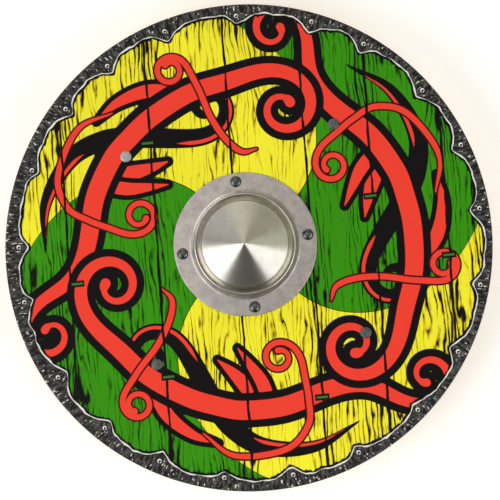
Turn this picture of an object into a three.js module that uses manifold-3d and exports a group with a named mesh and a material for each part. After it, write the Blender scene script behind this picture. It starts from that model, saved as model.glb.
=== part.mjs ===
// A child's wooden round shield. A plywood disc carries a pressed metal boss, held by four domed
// rivets. Two leather straps on the back, one for the forearm and one for the hand, are held by two
// rivets each. The shield lies on its back, face up, with its weight on the straps' flat runs.
//
// Millimetres, +Z up out of the painted face, +Y along the straps. The origin is on the surface that
// the shield lies on, below the middle of the board.

import * as THREE from "three";
import { mergeVertices } from "three/addons/utils/BufferGeometryUtils.js";
import Module from "manifold-3d";

// Driving dimensions.
const BOARD_DIAMETER = 380;
const BOARD_THICKNESS = 9;
const FRONT_EDGE_RADIUS = 2.5;
const BACK_EDGE_RADIUS = 1.2;
const BACK_HEIGHT = 34; // from the surface up to the back of the board

const BOSS_DIAMETER = 112;
const BOSS_SHEET = 1.2;
const BOSS_LIP_RADIUS = 39.2; // outer edge of the raised lip round the cone
const BOSS_LIP_HEIGHT = 7;
const BOSS_CONE_RADIUS = 33.4;
const BOSS_CONE_BASE = 6.6;
const BOSS_CONE_TOP = 19;
const BOSS_GROOVE_FLOOR = 4.7;
const BOSS_LIP_ROUND = 1.2; // radius of the lip's rounded top
const BOSS_TIP_RADIUS = 1.34; // where the cone's point is rounded off
const BOSS_TIP_DROP = 0.9;
const BOSS_FOOT_REACH = 2.2; // width and height of the fillet between the lip and the flange
const BOSS_FOOT_HEIGHT = 1.4;
const BOSS_EDGE_CHAMFER = 0.4;
const BOSS_RIVET_CIRCLE = 98.5;

const STRAP_WIDTH = 26;
const STRAP_THICKNESS = 3;
const STRAP_RIVET_PITCH = 164; // between a strap's two rivets, and between the two straps
const STRAP_TAB = 8; // from a rivet to the start of the bend
const STRAP_BEND_RADIUS = 18; // at the middle of the leather
const STRAP_SLOPE = THREE.MathUtils.degToRad(55);

const RIVET_HEAD_RADIUS = 4.5;
const RIVET_SHANK_RADIUS = 2;
const SHANK_CLEARANCE = 0.3;
const BOSS_RIVET_DOME = 2.4;
const STRAP_RIVET_DOME = 1.3;
const RIVET_TAIL_HEIGHT = 1;
const RIVET_TAIL_CHAMFER = 0.5;
const RIVET_HEAD_RIM = 0.5; // height of the head's edge, below the dome

// The boss and the rivets were set by hand, a little off the middle of the board.
const FITTINGS_X = -1.5;
const FITTINGS_Y = 2;

const FRONT_HEIGHT = BACK_HEIGHT + BOARD_THICKNESS;

// Sides of the turned solids.
const BOARD_SIDES = 128;
const BOSS_SIDES = 68;
const HOLE_SIDES = 20;
const RIVET_SIDES = 18;

const wasm = await Module();
wasm.setup();

// Rounds a value to a thousandth of a millimetre, so that faces meant to meet do.
const tidy = (value) => Math.round(value * 1000) / 1000;

// A closed three.js geometry as a manifold-3d solid.
function solidOf(geometry) {
  const bare = geometry.clone();
  bare.deleteAttribute("normal");
  bare.deleteAttribute("uv");
  const merged = mergeVertices(bare, 1e-4);
  return new wasm.Manifold(
    new wasm.Mesh({
      numProp: 3,
      vertProperties: new Float32Array(merged.attributes.position.array),
      triVerts: new Uint32Array(merged.index.array),
    }),
  );
}

// A manifold-3d solid as a three.js geometry.
function geometryOf(solid) {
  const mesh = solid.getMesh();
  const geometry = new THREE.BufferGeometry();
  geometry.setAttribute("position", new THREE.BufferAttribute(mesh.vertProperties, 3));
  geometry.setIndex(new THREE.BufferAttribute(mesh.triVerts, 1));
  geometry.computeVertexNormals();
  return geometry;
}

// A profile of [radius, height] points turned about +Z.
function turned(profile, segments) {
  const points = profile.map(([radius, height]) => new THREE.Vector2(tidy(radius), tidy(height)));
  return new THREE.LatheGeometry(points, segments).rotateX(Math.PI / 2);
}

// Points of an arc in a profile, from one angle to another, both ends included.
function arc(centreRadius, centreHeight, radius, from, to, steps) {
  return Array.from({ length: steps + 1 }, (_, i) => {
    const angle = THREE.MathUtils.degToRad(from + ((to - from) * i) / steps);
    return [centreRadius + radius * Math.cos(angle), centreHeight + radius * Math.sin(angle)];
  });
}

// An upright round bar at x, y, long enough to cut a rivet hole through everything.
function holeCutter(x, y) {
  const length = FRONT_HEIGHT + BOSS_CONE_TOP;
  const bar = new THREE.CylinderGeometry(
    RIVET_SHANK_RADIUS + SHANK_CLEARANCE,
    RIVET_SHANK_RADIUS + SHANK_CLEARANCE,
    2 * length,
    HOLE_SIDES,
  );
  return solidOf(bar.rotateX(Math.PI / 2).translate(x, y, length / 2));
}

function withHoles(solid, places) {
  return places.reduce((cut, [x, y]) => cut.subtract(holeCutter(x, y)), solid);
}

// Where the rivets are.
const bossRivetPlaces = ["east", "north", "west", "south"].map((side, i) => {
  const angle = (i * Math.PI) / 2;
  const reach = BOSS_RIVET_CIRCLE / 2;
  return [side, FITTINGS_X + reach * Math.cos(angle), FITTINGS_Y + reach * Math.sin(angle)];
});
const straps = [
  { name: "arm_strap", x: FITTINGS_X - STRAP_RIVET_PITCH / 2 },
  { name: "hand_strap", x: FITTINGS_X + STRAP_RIVET_PITCH / 2 },
];
const strapRivetPlaces = straps.flatMap(({ name, x }) => [
  [`${name}_rivet_top`, x, FITTINGS_Y + STRAP_RIVET_PITCH / 2],
  [`${name}_rivet_bottom`, x, FITTINGS_Y - STRAP_RIVET_PITCH / 2],
]);
const placesOf = (named) => named.map(([, x, y]) => [x, y]);

// Materials.
const paintedWood = new THREE.MeshStandardMaterial({ color: 0x3a8f1c, roughness: 0.5 });
const brushedMetal = new THREE.MeshStandardMaterial({ color: 0xbab4ab, roughness: 0.3, metalness: 1 });
const rivetSteel = new THREE.MeshStandardMaterial({ color: 0x6f7274, roughness: 0.4, metalness: 1 });
const leather = new THREE.MeshStandardMaterial({ color: 0x4a2c1a, roughness: 0.7 });

const shield = new THREE.Group();

function addPiece(name, geometry, material) {
  const mesh = new THREE.Mesh(geometry, material);
  mesh.name = name;
  shield.add(mesh);
}

// The board: a plywood disc with rounded edges and eight rivet holes.
{
  const radius = BOARD_DIAMETER / 2;
  const front = FRONT_EDGE_RADIUS;
  const back = BACK_EDGE_RADIUS;
  const profile = [
    [0, BACK_HEIGHT],
    ...arc(radius - back, BACK_HEIGHT + back, back, -90, 0, 2),
    ...arc(radius - front, FRONT_HEIGHT - front, front, 0, 90, 4),
    [0, FRONT_HEIGHT],
  ];
  const disc = solidOf(turned(profile, BOARD_SIDES));
  const places = [...placesOf(bossRivetPlaces), ...placesOf(strapRivetPlaces)];
  addPiece("board", geometryOf(withHoles(disc, places)), paintedWood);
}

// The boss: one pressed sheet, with a flat flange, a raised lip, a groove and a low cone. The inside
// line follows the outside one, about a sheet's thickness under it.
{
  const flangeRadius = BOSS_DIAMETER / 2;
  const sheet = BOSS_SHEET;
  const lip = BOSS_LIP_ROUND;
  const foot = BOSS_FOOT_REACH;
  const grooveRadius = (BOSS_LIP_RADIUS + BOSS_CONE_RADIUS) / 2;
  const outside = [
    [0, BOSS_CONE_TOP],
    [BOSS_TIP_RADIUS, BOSS_CONE_TOP - BOSS_TIP_DROP],
    [BOSS_CONE_RADIUS, BOSS_CONE_BASE],
    [BOSS_CONE_RADIUS + 0.7, BOSS_CONE_BASE - 0.5],
    [grooveRadius - 0.8, BOSS_GROOVE_FLOOR],
    [grooveRadius + 0.8, BOSS_GROOVE_FLOOR],
    ...arc(BOSS_LIP_RADIUS - lip, BOSS_LIP_HEIGHT - lip, lip, 120, 10, 4),
    [BOSS_LIP_RADIUS + 0.15 * foot, sheet + BOSS_FOOT_HEIGHT],
    [BOSS_LIP_RADIUS + 0.55 * foot, sheet + 0.2 * BOSS_FOOT_HEIGHT],
    [BOSS_LIP_RADIUS + foot, sheet],
    [flangeRadius - BOSS_EDGE_CHAMFER, sheet],
    [flangeRadius, sheet - BOSS_EDGE_CHAMFER],
  ];
  const inside = [
    [flangeRadius, 0],
    [BOSS_LIP_RADIUS + 1.5, 0],
    [BOSS_LIP_RADIUS - 0.7, 0.9],
    [BOSS_LIP_RADIUS - sheet - 0.2, BOSS_LIP_HEIGHT - lip - 0.4],
    [grooveRadius + 1.2, BOSS_GROOVE_FLOOR - sheet],
    [grooveRadius - 1.2, BOSS_GROOVE_FLOOR - sheet],
    [BOSS_CONE_RADIUS - 0.2, BOSS_CONE_BASE - sheet - 0.3],
    [0, BOSS_CONE_TOP - sheet - 0.4],
  ];
  const profile = [...outside, ...inside].reverse();
  const shell = turned(profile, BOSS_SIDES).translate(FITTINGS_X, FITTINGS_Y, FRONT_HEIGHT);
  const pierced = withHoles(solidOf(shell), placesOf(bossRivetPlaces));
  addPiece("boss", geometryOf(pierced), brushedMetal);
}

// A rivet, in one piece as set: a domed head, its shank and the closed tail on the back.
function rivet(headHeight, tailHeight, dome) {
  const head = RIVET_HEAD_RADIUS;
  const rim = headHeight + RIVET_HEAD_RIM;
  const domePoints = [0, 0.4, 0.7, 0.9].map((share) => [
    head * share,
    rim + (dome - RIVET_HEAD_RIM) * (1 - share * share),
  ]);
  const profile = [
    ...domePoints,
    [head, rim],
    [head, headHeight],
    [RIVET_SHANK_RADIUS, headHeight],
    [RIVET_SHANK_RADIUS, tailHeight],
    [head, tailHeight],
    [head - RIVET_TAIL_CHAMFER, tailHeight - RIVET_TAIL_HEIGHT],
    [0, tailHeight - RIVET_TAIL_HEIGHT],
  ];
  return turned(profile.reverse(), RIVET_SIDES);
}

for (const [side, x, y] of bossRivetPlaces) {
  const body = rivet(FRONT_HEIGHT + BOSS_SHEET, BACK_HEIGHT, BOSS_RIVET_DOME);
  addPiece(`boss_rivet_${side}`, body.translate(x, y, 0), rivetSteel);
}
for (const [name, x, y] of strapRivetPlaces) {
  const body = rivet(FRONT_HEIGHT, BACK_HEIGHT - STRAP_THICKNESS, STRAP_RIVET_DOME);
  addPiece(name, body.translate(x, y, 0), rivetSteel);
}

// Half of a strap's middle line, from its rivet end to the middle of the flat run: [along, height,
// direction] with the direction as the line's slope angle.
function strapHalf() {
  const top = BACK_HEIGHT - STRAP_THICKNESS / 2;
  const bottom = STRAP_THICKNESS / 2;
  const bendDrop = STRAP_BEND_RADIUS * (1 - Math.cos(STRAP_SLOPE));
  const bendRun = STRAP_BEND_RADIUS * Math.sin(STRAP_SLOPE);
  const legRun = (top - bottom - 2 * bendDrop) / Math.tan(STRAP_SLOPE);
  const end = STRAP_RIVET_PITCH / 2 + STRAP_WIDTH / 2;
  const firstBend = STRAP_RIVET_PITCH / 2 - STRAP_TAB;
  const secondBend = firstBend - 2 * bendRun - legRun;
  const steps = 5;
  const line = [[end, top, 0]];
  for (let i = 0; i <= steps; i++) {
    const turn = (STRAP_SLOPE * i) / steps;
    line.push([
      firstBend - STRAP_BEND_RADIUS * Math.sin(turn),
      top - STRAP_BEND_RADIUS * (1 - Math.cos(turn)),
      turn,
    ]);
  }
  for (let i = steps; i >= 0; i--) {
    const turn = (STRAP_SLOPE * i) / steps;
    line.push([
      secondBend + STRAP_BEND_RADIUS * Math.sin(turn),
      bottom + STRAP_BEND_RADIUS * (1 - Math.cos(turn)),
      turn,
    ]);
  }
  return line;
}

// A strap: its bent side view across the strap's width, trimmed to round ends, with two holes.
function strap(x) {
  const half = strapHalf();
  const offsetLine = (side) => {
    const points = half.map(([along, height, slope]) => [
      along - side * (STRAP_THICKNESS / 2) * Math.sin(slope),
      height + side * (STRAP_THICKNESS / 2) * Math.cos(slope),
    ]);
    return [...points, ...points.map(([along, height]) => [-along, height]).reverse()];
  };
  const outline = [...offsetLine(1), ...offsetLine(-1).reverse()];
  const sideView = new THREE.Shape(outline.map(([a, h]) => new THREE.Vector2(tidy(a), tidy(h))));
  const bent = new THREE.ExtrudeGeometry(sideView, { depth: STRAP_WIDTH, bevelEnabled: false })
    .translate(0, 0, -STRAP_WIDTH / 2)
    .rotateX(Math.PI / 2)
    .rotateZ(Math.PI / 2);

  const halfWidth = STRAP_WIDTH / 2;
  const plan = new THREE.Shape();
  plan.absarc(0, STRAP_RIVET_PITCH / 2, halfWidth, 0, Math.PI, false);
  plan.absarc(0, -STRAP_RIVET_PITCH / 2, halfWidth, Math.PI, 2 * Math.PI, false);
  const planBlock = new THREE.ExtrudeGeometry(plan, {
    depth: BACK_HEIGHT + 2,
    bevelEnabled: false,
    curveSegments: 12,
  }).translate(0, 0, -1);

  const solid = solidOf(bent).intersect(solidOf(planBlock)).translate([x, FITTINGS_Y, 0]);
  const holes = [1, -1].map((end) => [x, FITTINGS_Y + (end * STRAP_RIVET_PITCH) / 2]);
  return geometryOf(withHoles(solid, holes));
}

for (const { name, x } of straps) {
  addPiece(name, strap(x), leather);
}

export default shield;
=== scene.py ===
import math

import bmesh
import bpy
import numpy as np
from mathutils import Matrix, Vector


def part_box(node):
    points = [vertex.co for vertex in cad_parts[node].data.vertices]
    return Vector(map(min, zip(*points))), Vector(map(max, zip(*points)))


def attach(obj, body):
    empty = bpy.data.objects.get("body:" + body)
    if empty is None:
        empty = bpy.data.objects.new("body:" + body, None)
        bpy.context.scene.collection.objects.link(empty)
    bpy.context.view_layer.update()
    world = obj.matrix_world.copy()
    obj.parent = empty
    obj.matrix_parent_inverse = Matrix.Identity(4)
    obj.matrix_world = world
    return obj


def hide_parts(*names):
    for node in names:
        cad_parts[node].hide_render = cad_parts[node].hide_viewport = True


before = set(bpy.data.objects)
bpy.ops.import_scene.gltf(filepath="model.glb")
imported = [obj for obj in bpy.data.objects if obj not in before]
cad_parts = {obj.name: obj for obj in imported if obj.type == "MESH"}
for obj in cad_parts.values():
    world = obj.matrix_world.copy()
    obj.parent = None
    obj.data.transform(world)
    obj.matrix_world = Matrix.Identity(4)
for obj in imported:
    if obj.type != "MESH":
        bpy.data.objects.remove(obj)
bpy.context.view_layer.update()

# ------------------------------------------------------------------------------------------------
# The board. One disc of birch plywood, sawn and rounded over at the edge. Its face is printed with
# planks, a painted figure and an iron rim, and varnished. Its edge is painted black, its back bare.
# ------------------------------------------------------------------------------------------------

MM = 0.001

board_low, board_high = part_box("board")
BOARD_BACK = board_low.z
BOARD_FACE = board_high.z
BOARD_RADIUS = (board_high.x - board_low.x) / 2
FACE_EDGE_RADIUS = 2.5 * MM
BACK_EDGE_RADIUS = 1.2 * MM
UNDER_BOSS = 50 * MM  # the boss hides the face inside this circle
FIGURE_INNER = 64 * MM
FIGURE_OUTER = 174 * MM
FIGURE_RINGS = 88
BOARD_SIDES = 828


def arc_points(centre, height, radius, start, end, steps):
    """Points of a quarter-round in a turned profile, as (distance from the axis, height)."""
    angles = [math.radians(start + (end - start) * i / steps) for i in range(steps + 1)]
    return [(centre + radius * math.cos(a), height + radius * math.sin(a)) for a in angles]


def turned(name, profile, sides, x=0.0, y=0.0):
    """A solid turned about an upright axis at x, y, from a profile that starts and ends on it."""
    shape = bmesh.new()
    corners = [shape.verts.new((x + radius, y, height)) for radius, height in profile]
    for one, two in zip(corners, corners[1:]):
        shape.edges.new((one, two))
    bmesh.ops.spin(
        shape, geom=shape.verts[:] + shape.edges[:], cent=(x, y, 0), axis=(0, 0, 1),
        angle=2 * math.pi, steps=sides, use_merge=True,
    )
    bmesh.ops.remove_doubles(shape, verts=shape.verts, dist=1e-7)
    bmesh.ops.recalc_face_normals(shape, faces=shape.faces)
    return as_object(name, shape)


def as_object(name, shape):
    """A smooth-shaded object from a bmesh."""
    mesh = bpy.data.meshes.new(name)
    shape.to_mesh(mesh)
    shape.free()
    mesh.polygons.foreach_set("use_smooth", [True] * len(mesh.polygons))
    piece = bpy.data.objects.new(name, mesh)
    bpy.context.scene.collection.objects.link(piece)
    return piece


def even(start, end, steps):
    """Distances from start to end, both included."""
    return [start + (end - start) * i / steps for i in range(steps + 1)]


face_rings = (
    even(0, UNDER_BOSS, 3)[:-1]
    + even(UNDER_BOSS, FIGURE_INNER, 3)[:-1]
    + even(FIGURE_INNER, FIGURE_OUTER, FIGURE_RINGS)[:-1]
    + even(FIGURE_OUTER, BOARD_RADIUS - FACE_EDGE_RADIUS, 7)[:-1]
)
back_rings = even(BOARD_RADIUS - BACK_EDGE_RADIUS, 0, 6)[1:]
face_edge = (BOARD_RADIUS - FACE_EDGE_RADIUS, BOARD_FACE - FACE_EDGE_RADIUS, FACE_EDGE_RADIUS)
back_edge = (BOARD_RADIUS - BACK_EDGE_RADIUS, BOARD_BACK + BACK_EDGE_RADIUS, BACK_EDGE_RADIUS)
board_profile = (
    [(radius, BOARD_FACE) for radius in face_rings]
    + arc_points(*face_edge, 90, 0, 5)
    + arc_points(*back_edge, 0, -90, 3)
    + [(radius, BOARD_BACK) for radius in back_rings]
)
board = turned("plywood_board", board_profile, BOARD_SIDES)

# The print is drawn in millimetres about its own middle, which sits a little off the board's, and
# a little turned against the straps. Angles are in degrees, anticlockwise from the print's right.
FAR = 99.0  # stands for a distance to nothing near
PRINT_X = 1.9 * MM
PRINT_Y = 0.1 * MM
PRINT_TURN = math.radians(-8.7)
TIMBER_TURN = PRINT_TURN + math.radians(4)  # the planks lean against the print

board_mesh = board.data
board_places = np.empty(len(board_mesh.vertices) * 3, np.float32)
board_mesh.vertices.foreach_get("co", board_places)
board_places = board_places.reshape(-1, 3).astype(float)
on_face = board_places[:, 2] > BOARD_FACE - FACE_EDGE_RADIUS


def laid_out(places, turn):
    """Places on the board in the print's own millimetres, along axes turned by this angle."""
    x, y = (places[:, 0] - PRINT_X) / MM, (places[:, 1] - PRINT_Y) / MM
    cos, sin = math.cos(turn), math.sin(turn)
    return np.stack([x * cos + y * sin, y * cos - x * sin], 1)


spots = laid_out(board_places[on_face], PRINT_TURN)
spot_radius = np.hypot(spots[:, 0], spots[:, 1])
spot_angle = np.degrees(np.arctan2(spots[:, 1], spots[:, 0]))


def keep_on_board(name, values):
    """Stores a value, or a pair of them, for each vertex of the face."""
    if values.ndim == 1:
        whole = np.full(len(board_places), FAR, np.float32)
        whole[on_face] = values
        board_mesh.attributes.new(name, "FLOAT", "POINT").data.foreach_set("value", whole)
    else:
        whole = np.full((len(board_places), 3), FAR, np.float32)
        whole[on_face, :2] = values
        kept = board_mesh.attributes.new(name, "FLOAT_VECTOR", "POINT")
        kept.data.foreach_set("vector", whole.ravel())


# The ground is two colours that sweep round the boss in four arms. SWIRL_ARMS are where the arms'
# edges leave the boss, and each edge leans further round towards the rim.
SWIRL_ARMS = (134, 46, -44, -137)
SWIRL_LEAN = 50
SWIRL_START = 47
SWIRL_REACH = 131
SWIRL_EASE = 1.5

lean = SWIRL_LEAN * np.clip((spot_radius - SWIRL_START) / SWIRL_REACH, 0, None) ** SWIRL_EASE
unwound = (spot_angle - lean + 180) % 360 - 180


def degrees_past(angle):
    return (unwound - angle + 180) % 360 - 180


to_edges = np.stack([degrees_past(arm) for arm in SWIRL_ARMS])
nearest_edge = np.abs(to_edges).min(0)
upper_arm = (to_edges[0] < 0) & (to_edges[1] > 0)
lower_arm = (to_edges[2] < 0) & (to_edges[3] > 0)
swirl = np.radians(nearest_edge) * spot_radius * np.where(upper_arm | lower_arm, 1, -1)
keep_on_board("swirl", swirl)

# The printed figure is a wreath of scrolls, three times round. Each third has a broad stem with a
# curl at either end, a black coil, split leaves and two thin tendrils. A line is an array of
# (x, y, half width), and each colour is kept as its distance from the nearest point in millimetres.
# A design is (knots, bends, bud): see flowing_line and rolled_up for what each of them says.
STROKE_STEP = 1.5
DRAWN_PIECE = 10  # steps of a line that are drawn at a time
DRAWN_LAP = 3  # steps by which each piece overlaps the next
STEM_OUTLINE = 6.0
LEAF_OUTLINE = 3.8
TENDRIL_OUTLINE = 1.3
WREATH_TURNS = (78, 198, 318)
STEM_HALVES = (
    (
        ((60, 126.6, 7.3), (62, 127, 7.3), (70, 127.6, 7.4), (84, 127, 7.4), (98, 126, 7.0)),
        ((20, -60, 6.4), (20, -38, 5.4), (24, 60, 4.4), (26, 21, 3.6), (44, 13, 2.6), (30, 6.5, 1.6)),
        3.2,
    ),
    (
        ((64, 127.3, 7.3), (62, 127, 7.3), (50, 127, 7.3), (34, 128.5, 7.0), (20, 130, 6.6)),
        ((30, -50, 5.6), (34, -25, 4.6), (52, -16.5, 3.2), (44, -8, 2.0)),
        4.0,
    ),
)
COIL = (
    ((104, 160, 0.6), (90, 163, 4.6), (76, 156, 7.0), (66, 141, 8.0), (58, 122, 8.2), (48, 104, 7.8)),
    ((26, 30, 7.0), (30, 16, 6.0), (34, 10, 4.2), (20, 6, 2.6)),
    2.8,
)
COIL_LIGHTS = ((0.05, 0.34), (0.60, 0.92))  # where two red strokes start and end along the coil
LEAVES = (
    ((76, 122, 6), (71, 110, 6), (64, 99, 3.8), (56, 92, 0.4)),
    ((79, 122, 5), (77, 106, 5), (72, 92, 3.2), (65, 80, 0.4)),
    ((38, 134, 5), (46, 146, 5.2), (55, 153, 3.4), (63, 155, 0.4)),
)
TENDRILS = (
    (
        ((58, 150, 0.6), (68, 163, 2.0), (82, 160, 2.3), (90, 146, 2.3), (93, 127, 2.3), (95, 108, 2.3)),
        ((14, 24, 2.3), (22, 12, 2.2), (36, 8.5, 2.0), (20, 5.6, 1.7)),
        2.3,
    ),
    (
        ((8, 76, 0.6), (17, 74, 2.0), (25, 86, 2.3), (29, 106, 2.3), (30, 127, 2.3), (31, 143, 2.3)),
        ((12, 14, 2.3), (22, 10, 2.2), (32, 8, 2.0), (16, 5.4, 1.7)),
        2.3,
    ),
)
figure = {layer: np.full(len(spots), FAR) for layer in ("ink", "red", "tendril")}


def flowing_line(knots, turn):
    """A smooth line through (degrees, radius, half width) knots."""
    knots = np.array(knots, float)
    angles = np.radians(knots[:, 0] + turn)
    line = np.stack([knots[:, 1] * np.cos(angles), knots[:, 1] * np.sin(angles), knots[:, 2]], 1)
    line = np.vstack([2 * line[0] - line[1], line, 2 * line[-1] - line[-2]])
    parts = []
    for before, start, end, after in zip(line, line[1:], line[2:], line[3:]):
        steps = max(2, int(np.hypot(*(end - start)[:2]) / STROKE_STEP))
        t = (np.arange(steps) / steps)[:, None]
        bend = 2 * before - 5 * start + 4 * end - after
        twist = 3 * start - before - 3 * end + after
        parts.append(start + (end - before) * t / 2 + bend * t**2 / 2 + twist * t**3 / 2)
    return np.vstack([*parts, line[-2]])


def rolled_up(line, bends, bud):
    """The line carried on through (length, bend radius, half width) stretches to a round bud. It
    turns left at a positive radius, and its bend changes evenly along each stretch."""
    (x, y, width), before, earlier = line[-1], line[-2], line[-4]
    heading = math.atan2(y - before[1], x - before[0])
    was = math.atan2(before[1] - earlier[1], before[0] - earlier[0])
    curve = ((heading - was + math.pi) % (2 * math.pi) - math.pi) / (1.5 * STROKE_STEP)
    more = []
    for length, radius, end_width in bends:
        steps = max(2, round(length / STROKE_STEP))
        step = length / steps
        for i in range(steps):
            share = (i + 0.5) / steps
            now = curve + (1 / radius - curve) * share
            if curve * radius > 0:
                now = curve * (1 / radius / curve) ** share
            heading += now * step / 2
            x, y = x + step * math.cos(heading), y + step * math.sin(heading)
            heading += now * step / 2
            more.append((x, y, width + (end_width - width) * (i + 1) / steps))
        curve, width = 1 / radius, end_width
    more = np.array(more)
    more[-4:, 2] = np.maximum(more[-4:, 2], bud * np.sqrt(1 - np.linspace(0.75, 0, 4) ** 2))
    return np.vstack([line, more])


def distance_to(line):
    """Each spot's distance from a line's edge, negative inside, and how far along it the spot is."""
    near, along = np.full(len(spots), FAR), np.full(len(spots), -1.0)
    reach = line[:, 2].max() + 20
    low, high = line[:, :2].min(0) - reach, line[:, :2].max(0) + reach
    chosen = np.flatnonzero(((spots > low) & (spots < high)).all(1))
    x, y = spots[chosen].T
    best, foot = near[chosen], along[chosen]
    for i, (start, end) in enumerate(zip(line, line[1:])):
        dx, dy, dw = end - start
        t = ((x - start[0]) * dx + (y - start[1]) * dy) / max(dx * dx + dy * dy, 1e-9)
        held = np.clip(t, 0, 1)
        gap = np.hypot(x - start[0] - held * dx, y - start[1] - held * dy) - start[2] - held * dw
        closer = gap < best
        best, foot = np.where(closer, gap, best), np.where(closer, i + t, foot)
    near[chosen], along[chosen] = best, foot
    return near, along


def put(layer, values, where):
    figure[layer] = np.where(where, values, figure[layer])


def draw(line, kind, outline=0.0, joined=False):
    """Draws a line over the figure, a short piece at a time so that it can pass over itself. kind
    is "red" with a black outline, "black", or "tendril", whose thin outline comes later."""
    last = len(line) - 1
    for start in range(0, last, DRAWN_PIECE):
        low, high = max(0, start - DRAWN_LAP), min(last, start + DRAWN_PIECE + DRAWN_LAP)
        gap, along = distance_to(line[low : high + 1])
        mine = gap < FAR
        if low > 0 or joined:
            mine &= along > 0
        if high < last:
            mine &= along < high - low
        if kind == "tendril":
            put("tendril", np.minimum(figure["tendril"], gap), mine)
            continue
        outer = gap - outline
        put("ink", np.minimum(figure["ink"], outer), mine)
        put("red", np.maximum(figure["red"], -outer), mine)
        if kind == "red":
            put("red", np.minimum(figure["red"], gap), mine)


def scroll(design, turn):
    knots, bends, bud = design
    return rolled_up(flowing_line(knots, turn), bends, bud)


def lights_on(line):
    """The red strokes that shape the black coil, along its outer edge."""
    along = np.gradient(line[:, :2], axis=0)
    along /= np.hypot(along[:, 0], along[:, 1])[:, None]
    edge = line.copy()
    edge[:, 0] += along[:, 1] * line[:, 2] / 2
    edge[:, 1] -= along[:, 0] * line[:, 2] / 2
    for start, end in COIL_LIGHTS:
        stroke = edge[int(len(line) * start) : int(len(line) * end)].copy()
        ends = np.minimum(np.arange(len(stroke)), np.arange(len(stroke))[::-1])
        stroke[:, 2] = stroke[:, 2] * 0.19 * np.minimum(1, ends / 7) + 0.1
        yield stroke


for turn in WREATH_TURNS:
    for leaf in LEAVES:
        draw(flowing_line(leaf, turn), "red", LEAF_OUTLINE)
    draw(scroll(COIL, turn), "black")
    for stroke in lights_on(scroll(COIL, turn)):
        figure["red"] = np.minimum(figure["red"], distance_to(stroke)[0])
for half in STEM_HALVES:
    for turn in WREATH_TURNS:
        draw(scroll(half, turn), "red", STEM_OUTLINE, joined=True)
for turn in WREATH_TURNS:
    for tendril in TENDRILS:
        draw(scroll(tendril, turn), "tendril")
for layer, distances in figure.items():
    keep_on_board(layer, distances)

# The printed iron rim has a ragged inner edge that bows in round each of its printed nails.
NAIL_COUNT = 21
NAIL_START = 93
NAIL_CIRCLE = 181
RIM_CIRCLE = 182
RIM_BOW = 8.5
RIM_BOW_REACH = 8
RAGGED_EDGES = ((150, 1.0), (430, 0.35))  # how many points round the rim, and how far each strays

rng = np.random.default_rng(7)
nail_angles = NAIL_START + np.arange(NAIL_COUNT) * 360 / NAIL_COUNT + rng.uniform(-2, 2, NAIL_COUNT)
nail_radii = NAIL_CIRCLE + rng.uniform(-0.8, 0.8, NAIL_COUNT)
nail_turns = np.radians(nail_angles)
nail_places = np.stack([np.cos(nail_turns), np.sin(nail_turns)], 1) * nail_radii[:, None]


def to_nearest(places, centres):
    """Each place's offset from the nearest of the centres."""
    gaps = places[:, None, :] - centres[None]
    nearest = np.hypot(gaps[..., 0], gaps[..., 1]).argmin(1)
    return gaps[np.arange(len(places)), nearest]


round_rim = np.radians((spot_angle[:, None] - nail_angles + 180) % 360 - 180) * RIM_CIRCLE
bow_depths = RIM_BOW * rng.uniform(0.7, 1.15, NAIL_COUNT)
bow_reaches = RIM_BOW_REACH * rng.uniform(0.75, 1.3, (2, NAIL_COUNT))
bow_reach = np.where(round_rim > 0, bow_reaches[0], bow_reaches[1])
rim_edge = RIM_CIRCLE - (bow_depths * np.exp(-(np.abs(round_rim / bow_reach) ** 1.6))).sum(1)
for points, depth in RAGGED_EDGES:
    around = np.arange(points) * 360 / points - 180
    rim_edge += np.interp(spot_angle, around, rng.uniform(-depth, depth, points), period=360)
keep_on_board("rim", spot_radius - rim_edge)
keep_on_board("nail", to_nearest(spots, nail_places))

# Printed iron cramps pin some of the plank joints.
CRAMPS = ((-80.1, 80.5), (93.9, 38.8), (-134.9, -29.4), (-63.3, -101.7), (154.2, -7), (56, -117.2))
keep_on_board("cramp", to_nearest(spots, np.array(CRAMPS, float)))


def node(tree, kind, **settings):
    """A new shader node with these settings."""
    made = tree.nodes.new(f"ShaderNode{kind}")
    for name, value in settings.items():
        setattr(made, name, value)
    return made


def feed(tree, socket, value):
    """Links an output to a socket, or sets the socket to a plain value."""
    if isinstance(value, bpy.types.NodeSocket):
        tree.links.new(value, socket)
    else:
        socket.default_value = value


def figured(tree, operation, *values, clamp=False):
    """One step of arithmetic on distances and masks."""
    made = node(tree, "Math", operation=operation, use_clamp=clamp)
    for socket, value in zip(made.inputs, values):
        feed(tree, socket, value)
    return made.outputs[0]


def vectored(tree, operation, *values):
    """One step of arithmetic on places and directions."""
    made = node(tree, "VectorMath", operation=operation)
    for socket, value in zip(made.inputs, values):
        feed(tree, socket, value)
    return made.outputs["Value" if operation in ("LENGTH", "DOT_PRODUCT") else "Vector"]


def parts_of(tree, place):
    made = node(tree, "SeparateXYZ")
    feed(tree, made.inputs[0], place)
    return made.outputs["X"], made.outputs["Y"], made.outputs["Z"]


def vector_of(tree, *parts):
    made = node(tree, "CombineXYZ")
    for socket, value in zip(made.inputs, parts):
        feed(tree, socket, value)
    return made.outputs[0]


def mask_below(tree, value, limit, softness):
    """1 where the value is under the limit, 0 above it, with a soft edge."""
    made = node(tree, "MapRange", interpolation_type="SMOOTHSTEP")
    feed(tree, made.inputs["Value"], figured(tree, "SUBTRACT", value, limit))
    feed(tree, made.inputs["From Min"], -softness)
    feed(tree, made.inputs["From Max"], softness)
    feed(tree, made.inputs["To Min"], 1.0)
    feed(tree, made.inputs["To Max"], 0.0)
    return made.outputs["Result"]


def laid_over(tree, mask, under, over):
    """One colour laid over another through a mask."""
    made = node(tree, "Mix", data_type="RGBA")
    feed(tree, made.inputs[0], mask)
    feed(tree, made.inputs[6], under)
    feed(tree, made.inputs[7], over)
    return made.outputs[2]


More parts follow.
